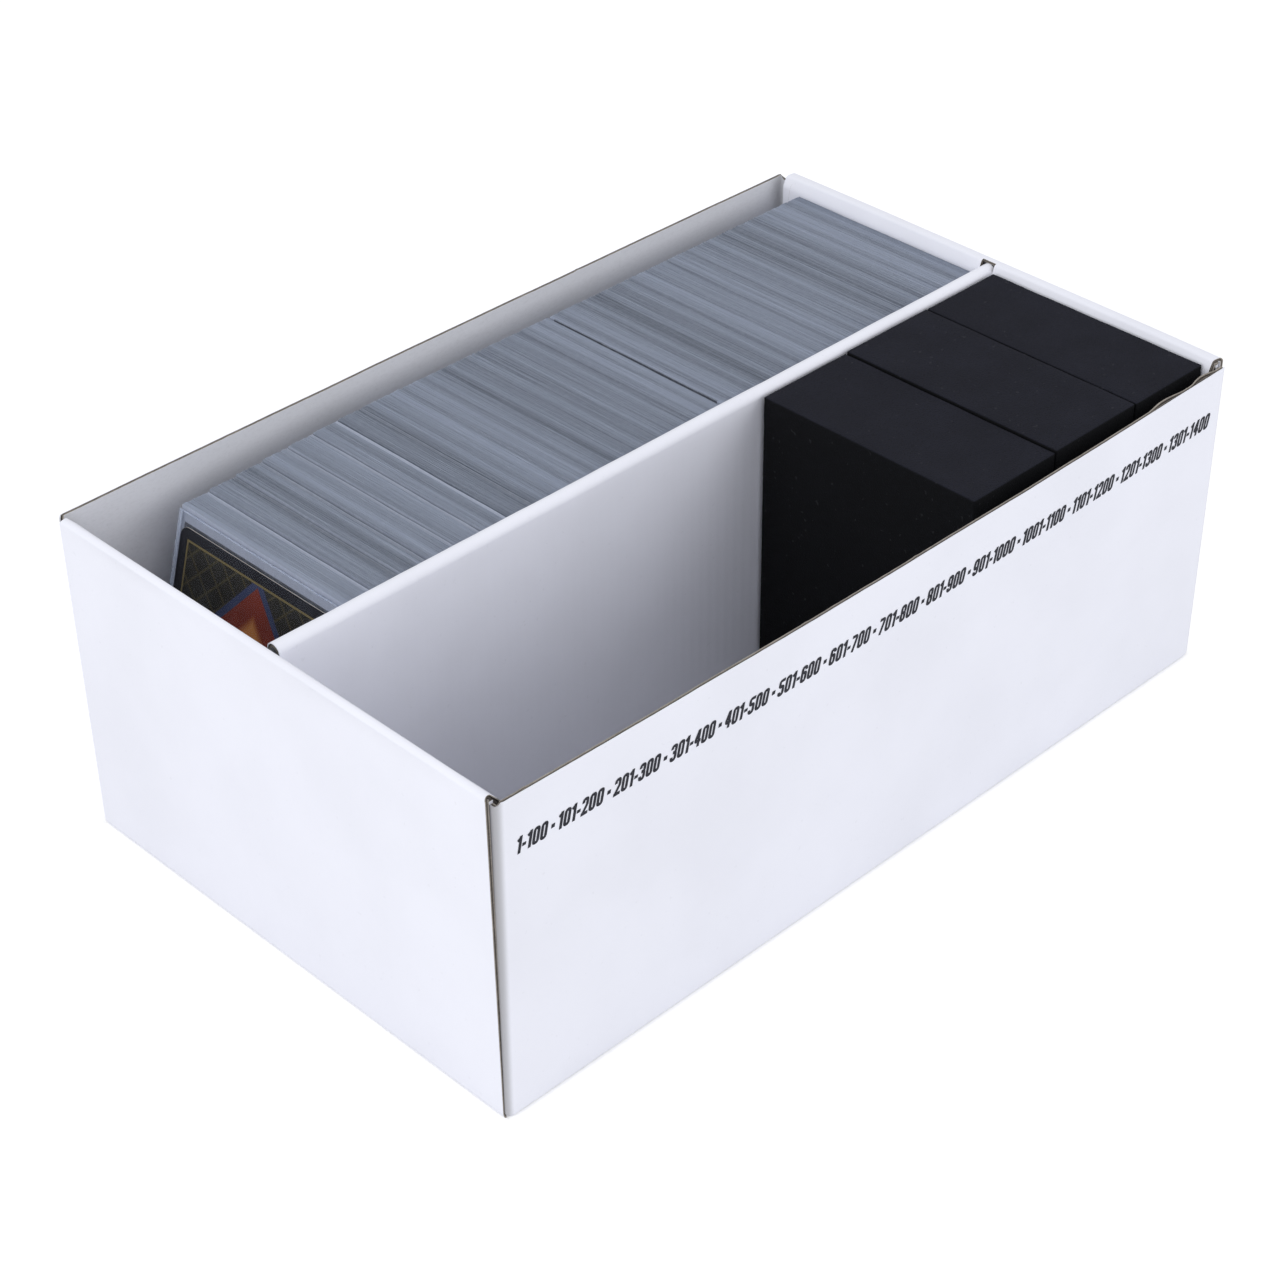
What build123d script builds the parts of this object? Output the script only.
from build123d import *
import os
from math import cos, radians, sin, tan

# Open cardboard box for sleeved playing cards: a folded tray with two rows, a divider that lifts out,
# one row full of sleeved cards, and foam blocks that fill the far end of the other row.
# Millimetres. X runs along the rows from the near end to the far end, -Y is the front long wall,
# +Z is up, and the origin is the middle of the underside.

# What the box is made to hold
card_width = 63.0
card_height = 88.0
card_thickness = 0.32
sleeve_width = 66.5
sleeve_height = 92.0
sleeve_film = 0.12
sleeve_thickness = 0.6
side_room = 10.1
head_room = 2.6
row_length = 256.0

# Board and how it folds
board = 1.1
outer_gap = 0.4
inner_gap = 1.8
crease_inside = 0.9
clearance = 0.3
end_side_gap = 0.5
rim_bow = 2.7
spine_rise = 1.5
spine_inner_reach = 2.8
spine_crest = 0.8
oval_tightness = 0.85
panel_stand = 0.1
flap_length = 60.0
flap_taper = 9.0
flap_drop = 0.6
tab_width = 24.0
tab_spacing = 92.0

# Divider
divider_gap = 2.4
divider_stand = 0.9
divider_shift = 0.5
divider_tab_reach = 1.9
divider_tab_height = 26.0

# Foam blocks, from the near one to the far one: length, and how far each stands above the rim
foam_lengths = (32.2, 32.8, 28.6)
foam_stands = (-0.1, 0.4, 0.2)
foam_side_room = 4.1
foam_divider_gap = 1.1
foam_edge = 0.8

# Row of sleeved cards
card_row_gap = 2.4
front_lean = 15.8
lean_fade = 0.7
leaning_packs = 7
leaning_sleeves = 13
upright_packs = 12
sleeve_pitch = 0.62
mouth_depth = 3.6
mouth_share = 0.5
height_scatter = 0.45

# Sizes that follow
floor_z = board
stand_z = floor_z + clearance
rim_z = stand_z + sleeve_height + head_room
row_width = sleeve_width + side_room
divider_width = 2 * board + divider_gap
inner_half_length = row_length / 2
inner_half_width = row_width + divider_width / 2
end_thickness = 3 * board + outer_gap + inner_gap
half_length = inner_half_length + end_thickness
half_width = inner_half_width + board
end_half_width = inner_half_width - end_side_gap
crease = crease_inside + board
panel_top = rim_z + panel_stand
spine_top = panel_top + spine_rise

# Layers of the rolled end, from the outside inwards, as distances from the middle
outer_panel_in = half_length - board
flap_out = outer_panel_in - outer_gap
flap_in = flap_out - board
inner_panel_out = flap_in - inner_gap
corner_x = flap_out - crease
corner_y = half_width - crease

# The divider's stand and notch
divider_top = rim_z + divider_stand
notch_half = divider_width / 2 + clearance
notch_bottom = divider_top - divider_tab_height - clearance

# Where the rows lie
card_y_low = divider_width / 2 + card_row_gap
card_y_high = card_y_low + sleeve_width
row_end = inner_half_length - clearance
row_start = -row_end

to_back = Plane.XZ
to_far_end = Plane.YZ


def prism(points, y_low, y_high):
    """A straight-sided solid whose outline, given as (x, z) points, is seen from the front."""
    seen = Plane((0, y_high, 0), x_dir=(1, 0, 0), z_dir=(0, -1, 0))
    return extrude(seen * make_face(Polyline(*points, close=True)), y_high - y_low)


def block(x, y, z):
    """A box between the low and the high limit on each axis."""
    size = [high - low for low, high in (x, y, z)]
    centre = [(high + low) / 2 for low, high in (x, y, z)]
    return Pos(*centre) * Box(*size)


def quarter_bend():
    """Section of a board that turns a corner, with its centre of bending at the origin."""
    ring = Circle(crease) - Circle(crease_inside)
    return ring & Rectangle(crease, crease, align=(Align.MAX, Align.MAX))


def long_wall():
    """Front wall with its foot crease and its two corner creases, bowed outwards at the rim."""
    foot = extrude(Plane.YZ.offset(-corner_x) * Pos(-corner_y, crease) * quarter_bend(), 2 * corner_x)
    corner = extrude(Pos(-corner_x, -corner_y, crease) * quarter_bend(), rim_z - crease)
    outer = ThreePointArc((-corner_x, -half_width), (0, -half_width - rim_bow), (corner_x, -half_width))
    inner = ThreePointArc(
        (corner_x, board - half_width), (0, board - half_width - rim_bow), (-corner_x, board - half_width)
    )
    rim = make_face(outer + Line(outer @ 1, inner @ 0) + inner + Line(inner @ 1, outer @ 0))
    straight = Pos(0, board / 2 - half_width, crease) * Rectangle(2 * corner_x, board)
    sheet = loft([straight, Pos(0, 0, rim_z) * rim], ruled=True)
    return foot + sheet + corner + mirror(corner, about=to_far_end)


def corner_flap():
    """Flap at the near front corner, where the front wall runs on inside the rolled end."""
    top = rim_z - flap_drop
    outline = Polyline(
        (-corner_y, crease),
        (flap_length - corner_y - flap_taper, crease),
        (flap_length - corner_y, crease + flap_taper),
        (flap_length - corner_y, top - flap_taper),
        (flap_length - corner_y - flap_taper, top),
        (-corner_y, top),
        close=True,
    )
    return extrude(Plane.YZ.offset(-flap_out) * make_face(outline), board)


def outer_panel():
    """Outside of the near end: the foot crease and the panel that hides the corner flaps."""
    bend = Plane.XZ.offset(end_half_width) * Pos(crease - half_length, crease) * quarter_bend()
    foot = extrude(bend, -2 * end_half_width)
    panel = block((-half_length, -outer_panel_in), (-end_half_width, end_half_width), (crease, panel_top))
    return foot + panel


def divider_notch():
    """Room for the divider's end at the near end, open at the top."""
    low_x = row_start - divider_tab_reach - divider_shift - clearance
    return block((low_x, row_start), (-notch_half, notch_half), (notch_bottom, spine_top + clearance))


def arc_about(centre, start, end):
    """The shorter arc between two points at the same distance from a centre."""
    middle = centre + ((start - centre) + (end - centre)).normalized() * (start - centre).length
    return ThreePointArc(start, middle, end)


def oval_quarter(crown_x, side, reach, rise):
    """A quarter of a flat oval, from a foot beside the crown up to it: two arcs that meet smoothly."""
    short, long = sorted((reach, rise))
    tight = oval_tightness * short
    loose = (reach**2 + rise**2 - 2 * long * tight) / (2 * (short - tight))
    foot_radius, crown_radius = (tight, loose) if reach > rise else (loose, tight)
    foot_centre = Vector(crown_x + side * (reach - foot_radius), 0)
    crown_centre = Vector(crown_x, rise - crown_radius)
    if reach > rise:
        join = crown_centre + (foot_centre - crown_centre).normalized() * crown_radius
    else:
        join = foot_centre + (crown_centre - foot_centre).normalized() * foot_radius
    foot = Vector(crown_x + side * reach, 0)
    return arc_about(foot_centre, foot, join) + arc_about(crown_centre, join, Vector(crown_x, rise))


def spine():
    """Top fold of the near end: a flat oval, pressed thin along its crest, whose hollow is open at both ends."""
    outer_reach = end_thickness - spine_inner_reach
    crown_x = outer_reach - half_length
    outside = oval_quarter(crown_x, -1, outer_reach, spine_rise)
    outside += oval_quarter(crown_x, 1, spine_inner_reach, spine_rise)
    hollow = oval_quarter(crown_x, -1, outer_reach - board, spine_rise - spine_crest)
    hollow += oval_quarter(crown_x, 1, spine_inner_reach - board, spine_rise - spine_crest)
    feet = Line((-half_length, 0), (-outer_panel_in, 0)) + Line((-inner_panel_out, 0), (-inner_half_length, 0))
    seen = Plane((0, end_half_width, panel_top), x_dir=(1, 0, 0), z_dir=(0, -1, 0))
    return extrude(seen * make_face(outside + hollow + feet), 2 * end_half_width) - divider_notch()


def inner_panel():
    """Inside of the near end, with the notch for the divider and two tabs that lock in the base."""
    relief = end_half_width - corner_y + clearance
    outline = Polyline(
        (-end_half_width, floor_z + relief),
        (relief - end_half_width, floor_z),
        (end_half_width - relief, floor_z),
        (end_half_width, floor_z + relief),
        (end_half_width, panel_top),
        (-end_half_width, panel_top),
        close=True,
    )
    panel = extrude(Plane.YZ.offset(-inner_panel_out) * make_face(outline), board)
    for side in (-1, 1):
        tab_y = side * tab_spacing / 2
        tab = block(
            (-inner_panel_out, -inner_half_length),
            (tab_y - tab_width / 2, tab_y + tab_width / 2),
            (clearance, floor_z),
        )
        panel += tab
    return panel - divider_notch()


def base_panel():
    """Floor of the tray, up to the foot creases, with a slot for each locking tab."""
    base = block((crease - half_length, half_length - crease), (-corner_y, corner_y), (0, board))
    for end in (-1, 1):
        for side in (-1, 1):
            slot_x = end * (inner_half_length + inner_panel_out) / 2
            slot = Box(board + 2 * clearance, tab_width + 2 * clearance, 3 * board)
            base -= Pos(slot_x, side * tab_spacing / 2, 0) * slot
    return base


def divider():
    """Strip folded double over a rounded top, whose upper corners reach into the end notches."""
    half = divider_width / 2
    half_gap = divider_gap / 2
    crown_z = divider_top - half
    outer = Line((-half, stand_z), (-half, crown_z)) + RadiusArc((-half, crown_z), (half, crown_z), half)
    outer += Line((half, crown_z), (half, stand_z))
    inner = Line((half_gap, stand_z), (half_gap, crown_z))
    inner += RadiusArc((half_gap, crown_z), (-half_gap, crown_z), -half_gap)
    inner += Line((-half_gap, crown_z), (-half_gap, stand_z))
    feet = Line((half, stand_z), (half_gap, stand_z)) + Line((-half_gap, stand_z), (-half, stand_z))
    half_strip = row_end + divider_tab_reach
    section = Plane.YZ.offset(divider_shift - half_strip) * make_face(outer + inner + feet)
    strip = extrude(section, 2 * half_strip)
    below_tab = block(
        (-half_length, row_start), (-divider_width, divider_width), (0, divider_top - divider_tab_height)
    )
    return strip - below_tab - mirror(below_tab, about=to_far_end)


def foam_block(index):
    """One filler block, its vertical edges and top edges eased."""
    high_x = row_end - sum(foam_lengths[index + 1:]) - clearance * (len(foam_lengths) - 1 - index)
    high_y = -divider_width / 2 - foam_divider_gap
    low_y = high_y - row_width + foam_side_room
    solid = block((high_x - foam_lengths[index], high_x), (low_y, high_y), (stand_z, rim_z + foam_stands[index]))
    eased = solid.edges().filter_by(Axis.Z) + solid.faces().sort_by(Axis.Z)[-1].edges()
    return fillet(eased, foam_edge)


def pack_lean(place):
    """Lean of a place in the row, in degrees: full at the front sleeve, none at the first upright pack."""
    return front_lean * (1 - place / (leaning_packs + 1)) ** lean_fade


def unevenness(count, shift):
    """A repeatable number from -1 to 1 for each sleeve, as the sleeves of a row never stand level."""
    return (sin(2.4 * count + shift) + 0.5 * sin(5.3 * count + 2 * shift)) / 1.5


def card_pack(foot_x, lean, sleeves, pitch, shift):
    """Sleeved cards standing together: the mouth of each sleeve stands above the card inside it."""
    slope = radians(lean)
    step = pitch / cos(slope)
    points = [(foot_x, stand_z)]
    for count in range(sleeves):
        top = sleeve_height + height_scatter * (unevenness(count, shift) - 1)
        for along, height in ((0, top), (1 - mouth_share, top), (1 - mouth_share, top - mouth_depth)):
            points.append((foot_x + (count + along) * step + height * sin(slope), stand_z + height * cos(slope)))
        if count < sleeves - 1:
            low = top - mouth_depth
            points.append((foot_x + (count + 1) * step + low * sin(slope), stand_z + low * cos(slope)))
    low = top - mouth_depth
    points.append((foot_x + sleeves * step + low * sin(slope), stand_z + low * cos(slope)))
    points.append((foot_x + sleeves * step, stand_z))
    return prism(points, card_y_low, card_y_high)


def in_front_sleeve(solid):
    """Leans a piece that was made upright at the origin back with the front sleeve."""
    return Pos(row_start, (card_y_low + card_y_high) / 2, stand_z) * Rot(0, front_lean, 0) * solid


def front_sleeve():
    """Clear sleeve, closed at its foot and sides and open at its mouth."""
    on_foot = (Align.MIN, Align.CENTER, Align.MIN)
    pocket_width = card_width + 2 * sleeve_film
    pocket = Box(sleeve_thickness - 2 * sleeve_film, pocket_width, sleeve_height, align=on_foot)
    sleeve = Box(sleeve_thickness, sleeve_width, sleeve_height, align=on_foot)
    return in_front_sleeve(sleeve - Pos(sleeve_film, 0, sleeve_film) * pocket)


def front_card():
    """Card in the front sleeve."""
    card = Box(card_thickness, card_width, card_height, align=(Align.CENTER, Align.CENTER, Align.MIN))
    return in_front_sleeve(Pos(sleeve_thickness / 2, 0, 2 * sleeve_film) * card)


def next_foot(foot_x, lean, thickness, next_lean):
    """Where the next pack's foot stands, so that it leans on the top of the pack in front of it."""
    top_z = sleeve_height * cos(radians(lean))
    top_x = foot_x + thickness / cos(radians(lean)) + sleeve_height * sin(radians(lean))
    return top_x + clearance - top_z * tan(radians(next_lean))


def row_places():
    """Where each pack behind the front sleeve stands: its name, foot, lean, number of sleeves and pitch."""
    places = []
    thickness = leaning_sleeves * sleeve_pitch
    foot_x = next_foot(row_start, front_lean, sleeve_thickness, pack_lean(1))
    for place in range(1, leaning_packs + 1):
        lean = pack_lean(place)
        places.append((f"leaning_pack_{place}", foot_x, lean, leaning_sleeves, sleeve_pitch))
        foot_x = next_foot(foot_x, lean, thickness, pack_lean(place + 1))
    share = (row_end + clearance - foot_x) / upright_packs
    upright_sleeves = int((share - clearance) / sleeve_pitch)
    upright_pitch = (share - clearance) / upright_sleeves
    for place in range(1, upright_packs + 1):
        pack_x = foot_x + (place - 1) * share
        places.append((f"upright_pack_{place}", pack_x, 0, upright_sleeves, upright_pitch))
    return places


def card_row():
    """All packs behind the front sleeve, by node name."""
    packs = {}
    for shift, (name, foot_x, lean, sleeves, pitch) in enumerate(row_places()):
        packs[name] = card_pack(foot_x, lean, sleeves, pitch, 3 * shift)
    return packs


def tray():
    """Panels of the folded blank, by node name."""
    panels = {"base_panel": base_panel(), "front_wall": long_wall()}
    panels["back_wall"] = mirror(panels["front_wall"], about=to_back)
    flap = corner_flap()
    ends = {"front_flap": flap, "back_flap": mirror(flap, about=to_back)}
    ends |= {"outer_panel": outer_panel(), "spine": spine(), "inner_panel": inner_panel()}
    for name, panel in ends.items():
        panels[f"near_{name}"] = panel
        panels[f"far_{name}"] = mirror(panel, about=to_far_end)
    return panels


nodes = tray() | {"divider": divider(), "front_sleeve": front_sleeve(), "front_card": front_card()} | card_row()
for index in range(len(foam_lengths)):
    nodes[f"foam_block_{index + 1}"] = foam_block(index)

os.makedirs("parts", exist_ok=True)
for name, solid in nodes.items():
    export_step(solid, f"parts/{name}.step")
